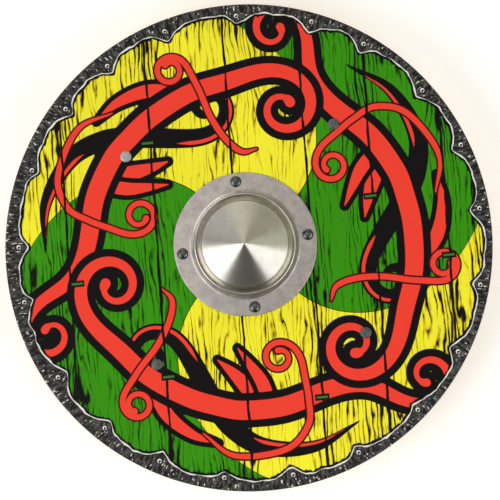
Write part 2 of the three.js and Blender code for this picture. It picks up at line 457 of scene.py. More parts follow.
def tinted(tree, share, colour, tint):
    """A colour multiplied by another, by this share."""
    made = node(tree, "Mix", data_type="RGBA", blend_type="MULTIPLY")
    feed(tree, made.inputs[0], share)
    feed(tree, made.inputs[6], colour)
    feed(tree, made.inputs[7], tint)
    return made.outputs[2]


def between(tree, share, low, high):
    """A value from low to high, by its share."""
    return figured(tree, "MULTIPLY_ADD", share, high - low, low)


def stretched_noise(tree, place, sizes, detail=2.0, roughness=0.5, offset=(0, 0, 0)):
    """Noise whose patches have these sizes along each axis, in the units of place."""
    scaled = node(tree, "Mapping", vector_type="POINT")
    feed(tree, scaled.inputs["Vector"], place)
    scaled.inputs["Scale"].default_value = [1 / size for size in sizes]
    scaled.inputs["Location"].default_value = offset
    made = node(tree, "TexNoise")
    feed(tree, made.inputs["Vector"], scaled.outputs[0])
    made.inputs["Scale"].default_value = 1.0
    made.inputs["Detail"].default_value = detail
    made.inputs["Roughness"].default_value = roughness
    return made.outputs["Fac"]


def in_millimetres(tree, x=0.0, y=0.0, turn=0.0):
    """The piece's own coordinates, in millimetres from x, y and turned by this angle."""
    made = node(tree, "Mapping", vector_type="TEXTURE")
    feed(tree, made.inputs["Vector"], node(tree, "TexCoord").outputs["Object"])
    made.inputs["Location"].default_value = (x, y, 0)
    made.inputs["Rotation"].default_value = (0, 0, turn)
    made.inputs["Scale"].default_value = (MM, MM, MM)
    return made.outputs[0]


def new_group(name, inputs, outputs):
    """An empty shader node group, with its sockets given as (name, kind, value)."""
    group = bpy.data.node_groups.new(name, "ShaderNodeTree")
    for in_out, sockets in (("INPUT", inputs), ("OUTPUT", outputs)):
        for label, kind, *value in sockets:
            made = group.interface.new_socket(label, in_out=in_out, socket_type=f"NodeSocket{kind}")
            if value:
                made.default_value = value[0]
    return group, node_of_group(group, "Input"), node_of_group(group, "Output")


def node_of_group(group, end):
    return group.nodes.new(f"NodeGroup{end}")


def placed(tree, group, **values):
    """A group set into a material's tree. Underscores in the names stand for spaces."""
    made = node(tree, "Group", node_tree=group)
    for name, value in values.items():
        feed(tree, made.inputs[name.replace("_", " ")], value)
    return made


def new_material(name):
    """A material with its Principled shader, and the node tree that feeds it."""
    material = bpy.data.materials.new(name)
    material.use_nodes = True
    return material, material.node_tree, material.node_tree.nodes["Principled BSDF"]


def srgb(red, green, blue):
    """A colour given as it looks, from 0 to 255, as the linear light that the shader takes."""
    def linear(value):
        share = value / 255
        return share / 12.92 if share <= 0.04045 else ((share + 0.055) / 1.055) ** 2.4
    return linear(red), linear(green), linear(blue), 1.0


def bumped(tree, shader, height, distance, strength=1.0):
    made = node(tree, "Bump")
    made.inputs["Distance"].default_value = distance
    made.inputs["Strength"].default_value = strength
    feed(tree, made.inputs["Height"], height)
    feed(tree, shader.inputs["Normal"], made.outputs[0])


# Handling marks: faint smears and fine scratches that change how rough a finish is.
handling, marks_in, marks_out = new_group(
    "handling_marks",
    [("Place", "Vector"), ("Base", "Float", 0.4), ("Smears", "Float", 0.1), ("Scratches", "Float", 0.1)],
    [("Roughness", "Float")],
)
marks_place, base, smears, scratches = (marks_in.outputs[i] for i in range(4))
smear = stretched_noise(handling, marks_place, (34, 21, 20), detail=3)
hairs = stretched_noise(handling, marks_place, (0.7, 19, 9), detail=1, offset=(3, 8, 1))
from_hair = figured(handling, "ABSOLUTE", figured(handling, "SUBTRACT", hairs, 0.5))
scratch = mask_below(handling, from_hair, 0.006, 0.004)
rougher = figured(handling, "MULTIPLY_ADD", figured(handling, "SUBTRACT", smear, 0.5), smears, base)
rougher = figured(handling, "MULTIPLY_ADD", scratch, scratches, rougher, clamp=True)
feed(handling, marks_out.inputs["Roughness"], rougher)

# The printed grain: long ink strokes down each plank, thicker beside the joints and at the rim.
PLANK_JOINTS = (-142, -72, -10, 48, 98, 154)
KNOT = (58, 84, 0)
KNOT_RADIUS = 11.0
PRINT_EDGE = 0.2  # how far a printed edge fades
GREEN = srgb(58, 152, 14)
YELLOW = srgb(254, 246, 54)
RED = srgb(248, 68, 52)
RED_INK = srgb(62, 12, 18)
INK = srgb(16, 13, 15)
IRON_DARK = srgb(30, 29, 32)
IRON_LIGHT = srgb(98, 97, 95)
SILVER = srgb(238, 238, 232)
CRAMP_GREEN = srgb(66, 118, 50)

printed, tree, shader = new_material("printed_face")
shader.inputs["Specular IOR Level"].default_value = 0.08
print_place = in_millimetres(tree, PRINT_X, PRINT_Y, PRINT_TURN)
timber_place = in_millimetres(tree, PRINT_X, PRINT_Y, TIMBER_TURN)
wobble = between(tree, stretched_noise(tree, timber_place, (40, 26, 40), detail=3), -1.6, 1.6)
timber_x, down_plank = parts_of(tree, timber_place)[:2]
across = figured(tree, "ADD", timber_x, wobble)
joint_gap, plank = FAR, 0.0
for joint in PLANK_JOINTS:
    past = figured(tree, "SUBTRACT", across, float(joint))
    joint_gap = figured(tree, "MINIMUM", joint_gap, figured(tree, "ABSOLUTE", past))
    plank = figured(tree, "ADD", plank, figured(tree, "GREATER_THAN", past, 0.0))


def from_board(name, output):
    return node(tree, "Attribute", attribute_name=name).outputs[output]


def printed_over(colour, distance, ink, reach=0.0, softness=PRINT_EDGE):
    """A colour with ink over it, out to this reach from where the distance is 0."""
    return laid_over(tree, mask_below(tree, distance, reach, softness), colour, ink)


rim = from_board("rim", "Fac")
in_from_rim = figured(tree, "MULTIPLY", rim, -1.0)
near_joint = mask_below(tree, joint_gap, 6.0, 8.0)
near_rim = mask_below(tree, in_from_rim, 11.0, 13.0)
patch = stretched_noise(tree, timber_place, (24, 80, 30), detail=2, offset=(11, 5, 0))
crowding = between(tree, near_joint, 0.0, 0.42)
crowding = figured(tree, "ADD", crowding, between(tree, near_rim, 0.0, 0.4))
crowding = figured(tree, "ADD", crowding, between(tree, patch, -1.55, 0.85))
knot_place = node(tree, "Mapping", vector_type="TEXTURE")
feed(tree, knot_place.inputs["Vector"], timber_place)
knot_place.inputs["Location"].default_value = KNOT
knot_place.inputs["Scale"].default_value = (1, 1.7, 1)
from_knot = vectored(tree, "LENGTH", knot_place.outputs[0])


def grain_lines(spacing, stray, breaks, least, most, shift):
    """Wavering lines along each plank, this far apart. Gives the distance to a line less its own
    half width, which comes and goes along it, so each line breaks and swells by itself."""
    own_x = figured(tree, "MULTIPLY_ADD", plank, 37.0, figured(tree, "DIVIDE", across, 17.0))
    own_place = vector_of(tree, own_x, figured(tree, "DIVIDE", down_plank, 95.0), shift)
    wave = stretched_noise(tree, own_place, (1, 1, 1), detail=3, roughness=0.55)
    strayed = figured(tree, "MULTIPLY_ADD", wave, stray, across)
    round_knot = mask_below(tree, from_knot, KNOT_RADIUS, 4.0)
    aside = figured(tree, "SUBTRACT", from_knot, strayed)
    strayed = figured(tree, "MULTIPLY_ADD", aside, round_knot, strayed)
    phase = figured(tree, "DIVIDE", strayed, spacing)
    line = figured(tree, "FLOOR", phase)
    from_line = figured(tree, "ABSOLUTE", figured(tree, "SUBTRACT", figured(tree, "FRACT", phase), 0.5))
    line_x = figured(tree, "MULTIPLY_ADD", plank, 31.7, figured(tree, "MULTIPLY", line, 5.71))
    line_place = vector_of(tree, line_x, figured(tree, "DIVIDE", down_plank, breaks), shift)
    swell = stretched_noise(tree, line_place, (1, 1, 1), detail=3, roughness=0.6)
    half_width = figured(tree, "ADD", between(tree, swell, least, most), crowding)
    return figured(tree, "MULTIPLY_ADD", from_line, spacing, figured(tree, "MULTIPLY", half_width, -1.0))


bold = grain_lines(4.1, 26.0, 30.0, -1.45, 1.95, 2.0)
fine = grain_lines(1.9, 19.0, 12.0, -1.5, 1.15, 9.0)

swirled = from_board("swirl", "Fac")
ground = printed_over(YELLOW, swirled, GREEN, softness=0.25)
tone = between(tree, stretched_noise(tree, print_place, (60, 60, 60), detail=4), 0.86, 1.10)
soak = figured(tree, "MULTIPLY", mask_below(tree, bold, 0.45, 0.55), 0.75)
colour = tinted(tree, soak, tinted(tree, 1.0, ground, tone), srgb(170, 140, 90))
faint = figured(tree, "MULTIPLY", mask_below(tree, fine, 0.0, 0.3), 0.6)
colour = laid_over(tree, faint, colour, INK)
colour = printed_over(colour, bold, INK, softness=0.3)
colour = printed_over(colour, figured(tree, "ABSOLUTE", swirled), INK, 0.35, 0.25)
for layer, reach, ink in (
    ("ink", 0.0, INK), ("red", 0.0, RED), ("tendril", TENDRIL_OUTLINE, RED_INK), ("tendril", 0.0, RED),
):
    colour = printed_over(colour, from_board(layer, "Fac"), ink, reach)

joint_width = between(tree, stretched_noise(tree, timber_place, (9, 14, 9), detail=3), 0.1, 1.75)
colour = printed_over(colour, joint_gap, INK, joint_width, 0.25)

# The cramps are small bars, all a little aslant.
CRAMP_SLANT = 0.1
cramp_x, cramp_y = parts_of(tree, from_board("cramp", "Vector"))[:2]
along_cramp = figured(tree, "ABSOLUTE", figured(tree, "MULTIPLY_ADD", cramp_y, CRAMP_SLANT, cramp_x))
across_cramp = figured(tree, "ABSOLUTE", figured(tree, "MULTIPLY_ADD", cramp_x, -CRAMP_SLANT, cramp_y))


def bar(half_length, half_height):
    past_end = figured(tree, "SUBTRACT", along_cramp, half_length)
    past_side = figured(tree, "SUBTRACT", across_cramp, half_height)
    return figured(tree, "MAXIMUM", past_end, past_side)


colour = printed_over(colour, bar(5.6, 2.5), INK, softness=0.25)
colour = printed_over(colour, bar(4.4, 0.9), CRAMP_GREEN, softness=0.25)

# The printed rim: black iron with radial hammer marks, a silver edge and pale nail heads.
spoke = vectored(tree, "MULTIPLY", print_place, (1, 1, 0))
pull = figured(tree, "MULTIPLY_ADD", vectored(tree, "LENGTH", spoke), 0.35, 118.0)
spoke_place = vectored(tree, "MULTIPLY", vectored(tree, "NORMALIZE", spoke), pull)
hammering = stretched_noise(tree, spoke_place, (2.6, 2.6, 2.6), detail=4, roughness=0.6)
flecks = stretched_noise(tree, spoke_place, (1.7, 1.7, 1.7), detail=2, roughness=0.7, offset=(4, 1, 7))
shadow_depth = between(tree, stretched_noise(tree, timber_place, (2.5, 30, 9), detail=2), 0.4, 4.4)
colour = printed_over(colour, figured(tree, "SUBTRACT", in_from_rim, shadow_depth), INK, softness=0.5)
iron = laid_over(tree, mask_below(tree, hammering, 0.56, 0.16), IRON_LIGHT, IRON_DARK)
bright = figured(tree, "SUBTRACT", 1.0, mask_below(tree, flecks, 0.64, 0.025))
flecked = figured(tree, "MULTIPLY", bright, mask_below(tree, in_from_rim, -2.5, 1.5))
iron = laid_over(tree, flecked, iron, SILVER)
colour = printed_over(colour, in_from_rim, iron)
silver_noise = stretched_noise(tree, print_place, (9, 9, 9), detail=3, offset=(2, 9, 4))
silver_width = between(tree, silver_noise, -0.6, 1.45)
colour = printed_over(colour, figured(tree, "ABSOLUTE", rim), SILVER, silver_width)

# Each printed nail is a dark ring, a pale head and a crescent of shade with a glint in it.
for x, y, reach, ink in (
    (0.0, 0.0, 2.5, IRON_DARK), (0.0, 0.0, 1.7, SILVER), (0.35, -0.5, 1.15, INK), (0.9, -1.1, 0.5, SILVER),
):
    offset = vectored(tree, "SUBTRACT", from_board("nail", "Vector"), (x, y, 0))
    from_spot = vectored(tree, "LENGTH", vectored(tree, "MULTIPLY", offset, (1, 1, 0)))
    colour = printed_over(colour, from_spot, ink, reach)

feed(tree, shader.inputs["Base Color"], colour)
marks = placed(tree, handling, Place=print_place, Base=0.42, Smears=0.16, Scratches=0.12)
feed(tree, shader.inputs["Roughness"], marks.outputs["Roughness"])
telegraph = stretched_noise(tree, timber_place, (1.6, 30, 9), detail=3, offset=(1, 2, 3))
bumped(tree, shader, telegraph, 0.06 * MM, 0.5)

# The painted edge: black over five plies, which still show as faint steps.
PLY_COUNT = 5
edge_paint, tree, shader = new_material("edge_paint")
edge_place = in_millimetres(tree)
edge_height = parts_of(tree, edge_place)[2]
board_thickness = (BOARD_FACE - BOARD_BACK) / MM
above_back = figured(tree, "SUBTRACT", edge_height, BOARD_BACK / MM)
ply_step = figured(tree, "MULTIPLY", above_back, math.pi * PLY_COUNT / board_thickness)
ply = figured(tree, "MULTIPLY_ADD", figured(tree, "SINE", ply_step), 0.5, 0.5)
fibre = stretched_noise(tree, edge_place, (2.5, 2.5, 0.5), detail=4, roughness=0.7)
rubbed = figured(tree, "MULTIPLY", mask_below(tree, fibre, 0.36, 0.05), 0.45)
black_paint = laid_over(tree, ply, srgb(24, 23, 23), srgb(38, 35, 33))
feed(tree, shader.inputs["Base Color"], laid_over(tree, rubbed, black_paint, srgb(110, 84, 56)))
marks = placed(tree, handling, Place=edge_place, Base=0.5, Smears=0.2, Scratches=0.2)
feed(tree, shader.inputs["Roughness"], marks.outputs["Roughness"])
bumped(tree, shader, figured(tree, "MULTIPLY_ADD", ply, 0.5, fibre), 0.15 * MM, 0.6)

# The bare back: rotary-cut birch, with long soft figure and fine pores.
bare_birch, tree, shader = new_material("bare_birch")
back_place = in_millimetres(tree, turn=TIMBER_TURN)
figure_noise = stretched_noise(tree, back_place, (22, 190, 30), detail=3, roughness=0.55)
bands = figured(tree, "FRACT", figured(tree, "MULTIPLY", figure_noise, 9.0))
soft_bands = figured(tree, "ABSOLUTE", figured(tree, "MULTIPLY_ADD", bands, 2.0, -1.0))
pores = stretched_noise(tree, back_place, (0.55, 9, 4), detail=2, roughness=0.7)
blotch = stretched_noise(tree, back_place, (80, 120, 60), detail=3)
birch = laid_over(tree, soft_bands, srgb(214, 182, 136), srgb(196, 160, 112))
birch = laid_over(tree, between(tree, blotch, 0.0, 0.6), birch, srgb(226, 198, 156))
pore_share = figured(tree, "MULTIPLY", mask_below(tree, pores, 0.36, 0.06), 0.45)
birch = laid_over(tree, pore_share, birch, srgb(140, 104, 66))
feed(tree, shader.inputs["Base Color"], birch)
marks = placed(tree, handling, Place=back_place, Base=0.62, Smears=0.14, Scratches=0.1)
feed(tree, shader.inputs["Roughness"], marks.outputs["Roughness"])
bumped(tree, shader, pores, 0.08 * MM, 0.7)

for material in (printed, edge_paint, bare_birch):
    board_mesh.materials.append(material)
face_heights = np.empty(len(board_mesh.polygons) * 3, np.float32)
board_mesh.polygons.foreach_get("center", face_heights)
face_heights = face_heights.reshape(-1, 3)[:, 2]
face_finish = np.where(face_heights > BOARD_FACE - FACE_EDGE_RADIUS * 0.4, 0, 1)
face_finish = np.where(face_heights < BOARD_BACK + BACK_EDGE_RADIUS * 0.5, 2, face_finish)
board_mesh.polygons.foreach_set("material_index", face_finish.astype(np.int32))

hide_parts("board")
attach(board, "root")

# ------------------------------------------------------------------------------------------------
# The boss. One disc of stainless sheet, pressed with a raised lip, a groove and a low cone. The
# flange is left satin from the sheet, and the cone is brushed while it spins.
# ------------------------------------------------------------------------------------------------

boss_low, boss_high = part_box("boss")
BOSS_X = (boss_low.x + boss_high.x) / 2
BOSS_Y = (boss_low.y + boss_high.y) / 2
BOSS_SEAT = boss_low.z
BOSS_RADIUS = (boss_high.x - boss_low.x) / 2
SHEET = 1.2 * MM
LIP_RADIUS = 39.2 * MM
LIP_TOP = 7 * MM
LIP_ROUND = 1.2 * MM  # the rounding of the lip's outer shoulder
CONE_RADIUS = 33.4 * MM
CONE_BASE = 6.6 * MM
CONE_TIP = boss_high.z - boss_low.z
GROOVE_FLOOR = 4.7 * MM
GROOVE_RADIUS = (LIP_RADIUS + CONE_RADIUS) / 2
BOSS_SIDES = 220

FLANGE_DROOP = 0.8 * MM  # how far the flange falls away towards its edge
FLANGE_TOP = SHEET + FLANGE_DROOP
FOOT = 2.0 * MM  # the slope between the lip and the flange, as wide as it is high
GROOVE_TOP = CONE_BASE - 0.8 * MM

cone_slope = (CONE_TIP - CONE_BASE) / CONE_RADIUS
groove_rings = even(CONE_RADIUS + 0.9 * MM, LIP_RADIUS - 1.5 * MM, 5)
flange_slope = FLANGE_DROOP / (BOSS_RADIUS - LIP_RADIUS)
groove_slope = (GROOVE_TOP - GROOVE_FLOOR) / (groove_rings[-1] - groove_rings[0])
flange_rings = even(LIP_RADIUS + FOOT + 1.5 * MM, BOSS_RADIUS - 0.8 * MM, 8)
outside = (
    [(0, CONE_TIP), (0.4 * MM, CONE_TIP - 0.12 * MM), (1.0 * MM, CONE_TIP - 0.42 * MM)]
    + [(radius, CONE_TIP - cone_slope * radius) for radius in even(1.9 * MM, CONE_RADIUS - 0.5 * MM, 24)]
    + arc_points(CONE_RADIUS - 0.35 * MM, CONE_BASE - 0.5 * MM, 0.65 * MM, 68, 5, 5)
    + [(CONE_RADIUS + 0.55 * MM, GROOVE_TOP)]
    + [(radius, GROOVE_TOP - groove_slope * (radius - CONE_RADIUS - 0.9 * MM)) for radius in groove_rings]
    + arc_points(LIP_RADIUS - 1.35 * MM, GROOVE_FLOOR + 0.4 * MM, 0.4 * MM, 270, 350, 3)
    + arc_points(LIP_RADIUS - 0.45 * MM, LIP_TOP - 0.45 * MM, 0.45 * MM, 170, 60, 6)
    + arc_points(LIP_RADIUS - LIP_ROUND / 2, LIP_TOP - LIP_ROUND, LIP_ROUND, 60, 10, 5)
    + [(LIP_RADIUS + 0.7 * MM, FLANGE_TOP + FOOT * 1.25)]
    + [(LIP_RADIUS + 1.0 * MM + FOOT * part, FLANGE_TOP + FOOT * (1 - part)) for part in even(0, 0.88, 4)]
    + [(LIP_RADIUS + 1.05 * MM + FOOT, FLANGE_TOP + 0.04 * MM)]
    + [(radius, FLANGE_TOP - flange_slope * (radius - LIP_RADIUS)) for radius in flange_rings]
    + arc_points(BOSS_RADIUS - 0.5 * MM, SHEET - 0.5 * MM, 0.5 * MM, 90, 0, 4)
)
inside = [
    (BOSS_RADIUS, 0.0),
    (LIP_RADIUS + 1.5 * MM, 0.0),
    (LIP_RADIUS - 0.7 * MM, 0.9 * MM),
    (LIP_RADIUS - 1.4 * MM, LIP_TOP - 1.6 * MM),
    (GROOVE_RADIUS + 1.2 * MM, GROOVE_FLOOR - SHEET),
    (GROOVE_RADIUS - 1.2 * MM, GROOVE_FLOOR - SHEET),
    (CONE_RADIUS - 0.2 * MM, CONE_BASE - 1.5 * MM),
    (0, CONE_TIP - 1.6 * MM),
]
boss_profile = [(radius, BOSS_SEAT + height) for radius, height in outside + inside]
boss = turned("pressed_boss", boss_profile, BOSS_SIDES, BOSS_X, BOSS_Y)


def spun_steel(name, colour, base_roughness, anisotropy, ring_depth):
    """Stainless sheet with the fine rings that spinning or brushing leaves round the middle."""
    material, tree, shader = new_material(name)
    place = in_millimetres(tree, BOSS_X, BOSS_Y)
    from_middle = vectored(tree, "LENGTH", vectored(tree, "MULTIPLY", place, (1, 1, 0)))
    rings = stretched_noise(tree, vector_of(tree, from_middle), (0.5, 1, 1), detail=4, roughness=0.7)
    cloud = stretched_noise(tree, place, (9, 9, 9), detail=6, roughness=0.75)
    tint = laid_over(tree, mask_below(tree, cloud, 0.5, 0.16), colour[0], colour[1])
    feed(tree, shader.inputs["Base Color"], tinted(tree, 1.0, tint, between(tree, rings, 0.90, 1.08)))
    shader.inputs["Metallic"].default_value = 1.0
    shader.inputs["Anisotropic"].default_value = anisotropy
    shader.inputs["Anisotropic Rotation"].default_value = 0.25
    if anisotropy:
        tangent = node(tree, "Tangent", direction_type="RADIAL", axis="Z")
        feed(tree, shader.inputs["Tangent"], tangent.outputs[0])
    marks = placed(tree, handling, Place=place, Base=base_roughness, Smears=0.10, Scratches=0.12)
    feed(tree, shader.inputs["Roughness"], marks.outputs["Roughness"])
    bumped(tree, shader, rings, ring_depth * MM, 0.5)
    return material


flange_steel = spun_steel("satin_flange", (srgb(196, 190, 184), srgb(172, 164, 164)), 0.42, 0.0, 0.02)
cone_steel = spun_steel("brushed_cone", (srgb(206, 203, 196), srgb(196, 192, 184)), 0.30, 0.9, 0.01)
# The groove's steel is darker and more olive than the cone's: painted shade in the recess inside the lip.
groove_steel_painted_shade = spun_steel("brushed_groove_painted_shade", (srgb(170, 164, 148), srgb(152, 146, 130)), 0.30, 0.85, 0.02)
for material in (flange_steel, cone_steel, groove_steel_painted_shade):
    boss.data.materials.append(material)
# Faces between the cone and the lip take the groove's darker steel of painted shade.
for face in boss.data.polygons:
    from_axis = math.hypot(face.center.x - BOSS_X, face.center.y - BOSS_Y)
    in_groove = CONE_RADIUS + 0.3 * MM < from_axis < LIP_RADIUS - 1.3 * MM
    face.material_index = 2 if in_groove else int(from_axis < LIP_RADIUS + 0.3 * MM)

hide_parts("boss")
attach(boss, "root")

# ------------------------------------------------------------------------------------------------
# The rivets. Turned steel: four high domes, gone dark, hold the boss, and four low heads hold the
# straps. Each goes right through the board and is closed over on the back.
# ------------------------------------------------------------------------------------------------

RIVET_SIDES = 48
SHANK_RADIUS = 2 * MM
HEAD_RIM = 0.5 * MM
TAIL_ROUND = 0.35 * MM


def rivet(name, node_name, head_seat, tail_seat):
    """A set rivet: its domed head, shank and closed tail, where the frame's own rivet is."""
    low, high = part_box(node_name)
    x, y = (low.x + high.x) / 2, (low.y + high.y) / 2
    head_radius = (high.x - low.x) / 2
    rise = high.z - head_seat - HEAD_RIM
    dome = [
        (head_radius * math.sin(t), head_seat + HEAD_RIM + rise * math.cos(t))
        for t in even(0, math.pi / 2, 10)
    ]
    tail = arc_points(head_radius - TAIL_ROUND, tail_seat - TAIL_ROUND, TAIL_ROUND, 90, 0, 3)
    under = arc_points(head_radius - TAIL_ROUND, low.z + TAIL_ROUND, TAIL_ROUND, 0, -90, 3)
    dimple = [(1.6 * MM, low.z), (1.2 * MM, low.z + 0.35 * MM), (0, low.z + 0.45 * MM)]
    profile = dome + [(head_radius - 0.1 * MM, head_seat), (SHANK_RADIUS, head_seat)]
    profile += [(SHANK_RADIUS, tail_seat)] + tail + under + dimple
    piece = turned(name, profile, RIVET_SIDES, x, y)
    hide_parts(node_name)
    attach(piece, "root")
    return piece


def rivet_steel(name, light, dark, roughness):
    """Steel that has dulled in patches."""
    material, tree, shader = new_material(name)
    place = in_millimetres(tree)
    bloom = stretched_noise(tree, place, (2.4, 2.4, 2.4), detail=4, roughness=0.65)
    patches = mask_below(tree, bloom, 0.5, 0.2)
    feed(tree, shader.inputs["Base Color"], laid_over(tree, patches, light, dark))
    shader.inputs["Metallic"].default_value = 1.0
    marks = placed(tree, handling, Place=place, Base=roughness, Smears=0.2, Scratches=0.2)
    feed(tree, shader.inputs["Roughness"], marks.outputs["Roughness"])
    bumped(tree, shader, bloom, 0.03 * MM, 0.6)
    return material


dark_steel = rivet_steel("darkened_steel", srgb(112, 118, 114), srgb(66, 68, 66), 0.28)
grey_steel = rivet_steel("dull_steel", srgb(112, 113, 115), srgb(86, 87, 90), 0.52)
# A paler copy of the strap rivets' steel: a painted highlight, the light one rivet head reflects.
pale_steel_painted_highlight = rivet_steel("steel_painted_highlight", srgb(186, 187, 188), srgb(160, 162, 165), 0.5)
STRAP_SHEET = 3 * MM

for side in ("east", "north", "west", "south"):
    piece = rivet(f"boss_rivet_{side}_set", f"boss_rivet_{side}", BOSS_SEAT + SHEET, BOARD_BACK)
    piece.data.materials.append(dark_steel)
# The top rivet of the arm strap takes the paler steel as its painted highlight; the other three keep the
# grey steel.
for strap_name in ("arm_strap", "hand_strap"):
    for end in ("top", "bottom"):
        node_name = f"{strap_name}_rivet_{end}"
        piece = rivet(f"{node_name}_set", node_name, BOARD_FACE, BOARD_BACK - STRAP_SHEET)
        painted_highlight_one = node_name == "arm_strap_rivet_top"
        piece.data.materials.append(pale_steel_painted_highlight if painted_highlight_one else grey_steel)

# ------------------------------------------------------------------------------------------------
# The straps. Two bands of brown leather with round ends, bowed away from the back of the board, and
# stitched along both edges. Each is held by a rivet at either end, flat against the bare wood.
# ------------------------------------------------------------------------------------------------

STRAP_TAB = 8 * MM
STRAP_BEND = 18 * MM
STRAP_SLOPE = math.radians(55)
STRAP_TIP = 0.6 * MM  # half the width left at the very end of the round
STITCH_INSET = 3 * MM
STITCH_PITCH = 4.2 * MM
STITCH_LENGTH = 2.9 * MM
STITCH_RADIUS = 0.42 * MM
STITCH_MARGIN = 12 * MM


def strap_line(node_name):
    """The strap's middle line from one end to the other: (along, height, slope) for every step."""
    low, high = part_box(node_name)
    end = (high.y - low.y) / 2
    rivet_at = end - (high.x - low.x) / 2
    top, bottom = high.z - STRAP_SHEET / 2, low.z + STRAP_SHEET / 2
    bend_drop, bend_run = STRAP_BEND * (1 - math.cos(STRAP_SLOPE)), STRAP_BEND * math.sin(STRAP_SLOPE)
    first = rivet_at - STRAP_TAB
    second = first - 2 * bend_run - (top - bottom - 2 * bend_drop) / math.tan(STRAP_SLOPE)
    half = [(along, top, 0.0) for along in even(end, first + 1 * MM, 12)]
    for fall in even(0, STRAP_SLOPE, 12):
        run, drop = STRAP_BEND * math.sin(fall), STRAP_BEND * (1 - math.cos(fall))
        half.append((first - run, top - drop, fall))
    for fall in even(STRAP_SLOPE, 0, 12):
        run, drop = STRAP_BEND * math.sin(fall), STRAP_BEND * (1 - math.cos(fall))
        half.append((second + run, bottom + drop, fall))
    half += [(along, bottom, 0.0) for along in even(second, 0, 8)[1:]]
    return half + [(-along, height, -slope) for along, height, slope in half[-2::-1]]


leather, tree, shader = new_material("bridle_leather")
place = in_millimetres(tree)
pebble = node(tree, "TexVoronoi", feature="DISTANCE_TO_EDGE")
feed(tree, pebble.inputs["Vector"], place)
pebble.inputs["Scale"].default_value = 0.9
crease = figured(tree, "SUBTRACT", 1.0, mask_below(tree, pebble.outputs["Distance"], 0.06, 0.08))
cloud = stretched_noise(tree, place, (16, 24, 14), detail=4)
hide = laid_over(tree, cloud, srgb(92, 54, 30), srgb(122, 76, 44))
hide = laid_over(tree, between(tree, crease, 0.35, 0.0), hide, srgb(52, 30, 18))
feed(tree, shader.inputs["Base Color"], hide)
marks = placed(tree, handling, Place=place, Base=0.5, Smears=0.25, Scratches=0.15)
feed(tree, shader.inputs["Roughness"], marks.outputs["Roughness"])
bumped(tree, shader, figured(tree, "MULTIPLY_ADD", cloud, 0.4, crease), 0.12 * MM, 0.6)

thread, tree, shader = new_material("waxed_thread")
place = in_millimetres(tree)
twist = stretched_noise(tree, place, (0.3, 0.5, 0.4), detail=2)
feed(tree, shader.inputs["Base Color"], laid_over(tree, twist, srgb(206, 186, 146), srgb(168, 144, 104)))
shader.inputs["Roughness"].default_value = 0.7
bumped(tree, shader, twist, 0.05 * MM, 0.6)


def strap(node_name, piece_name):
    """A leather band bent along its line, with round ends and softened edges."""
    low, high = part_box(node_name)
    middle_x, middle_y = (low.x + high.x) / 2, (low.y + high.y) / 2
    half_width = (high.x - low.x) / 2
    line = strap_line(node_name)
    rivet_at = (high.y - low.y) / 2 - half_width
    shape = bmesh.new()
    rows = len(line) - 1
    bmesh.ops.create_grid(shape, x_segments=8, y_segments=rows, size=1.0)
    for vert in shape.verts:
        along, height, slope = line[round((vert.co.y + 1) / 2 * rows)]
        past = max(0.0, abs(along) - rivet_at)
        width = max(math.sqrt(max(0.0, half_width**2 - past**2)), STRAP_TIP)
        vert.co = Vector((middle_x + vert.co.x * width, middle_y + along, height))
    bmesh.ops.recalc_face_normals(shape, faces=shape.faces)
    piece = as_object(piece_name, shape)
    thickness = piece.modifiers.new("thickness", "SOLIDIFY")
    thickness.thickness = STRAP_SHEET
    thickness.offset = 0.0
    thickness.use_even_offset = True
    softened = piece.modifiers.new("softened", "BEVEL")
    softened.width = 0.7 * MM
    softened.segments = 3
    softened.limit_method = "ANGLE"
    softened.angle_limit = math.radians(50)
    piece.data.materials.append(leather)
    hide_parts(node_name)
    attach(piece, "root")
    return line, middle_x, middle_y, half_width


def stitching(name, line, middle_x, middle_y, half_width):
    """Two rows of thread on both faces of a strap, one stitch at a time."""
    heights = np.array([height for along, height, slope in line])
    alongs = np.array([along for along, height, slope in line])
    slopes = np.array([slope for along, height, slope in line])
    lengths = np.concatenate([[0], np.cumsum(np.hypot(np.diff(alongs), np.diff(heights)))])
    shape = bmesh.new()
    for at in np.arange(STITCH_MARGIN, lengths[-1] - STITCH_MARGIN, STITCH_PITCH):
        along, height, slope = (np.interp(at, lengths, values) for values in (alongs, heights, slopes))
        for across_strap in (STITCH_INSET - half_width, half_width - STITCH_INSET):
            for lift in (-STRAP_SHEET / 2, STRAP_SHEET / 2):
                x, y = middle_x + across_strap, middle_y + along - lift * math.sin(slope)
                seat = Matrix.Translation((x, y, height + lift * math.cos(slope)))
                stretch = Matrix.Diagonal((STITCH_RADIUS, STITCH_LENGTH / 2, STITCH_RADIUS, 1))
                lay = seat @ Matrix.Rotation(slope, 4, "X") @ stretch
                bmesh.ops.create_icosphere(shape, subdivisions=1, radius=1.0, matrix=lay)
    piece = as_object(name, shape)
    piece.data.materials.append(thread)
    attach(piece, "root")


for strap_name in ("arm_strap", "hand_strap"):
    stitching(f"{strap_name}_stitching", *strap(strap_name, f"{strap_name}_band"))

# ------------------------------------------------------------------------------------------------
# The studio. A pale floor, two large soft boxes on the near side with a gap between them, a low one
# on the far left, and a pale room with brighter and darker parts for the metal to mirror.
# ------------------------------------------------------------------------------------------------

FLOOR_HALF = 4.0
FLOOR_GLOW = 0.3  # keeps the floor pale in the shield's shadow

floor_shape = bmesh.new()
bmesh.ops.create_grid(floor_shape, x_segments=1, y_segments=1, size=FLOOR_HALF)
floor = as_object("studio_floor", floor_shape)
floor_paint, tree, shader = new_material("floor_paint")
place = in_millimetres(tree)
dust = stretched_noise(tree, place, (300, 300, 300), detail=2)
feed(tree, shader.inputs["Base Color"], laid_over(tree, dust, srgb(248, 248, 248), srgb(251, 251, 251)))
shader.inputs["Roughness"].default_value = 0.9
shader.inputs["Emission Color"].default_value = (1, 0.99, 0.97, 1)
shader.inputs["Emission Strength"].default_value = FLOOR_GLOW
floor.data.materials.append(floor_paint)

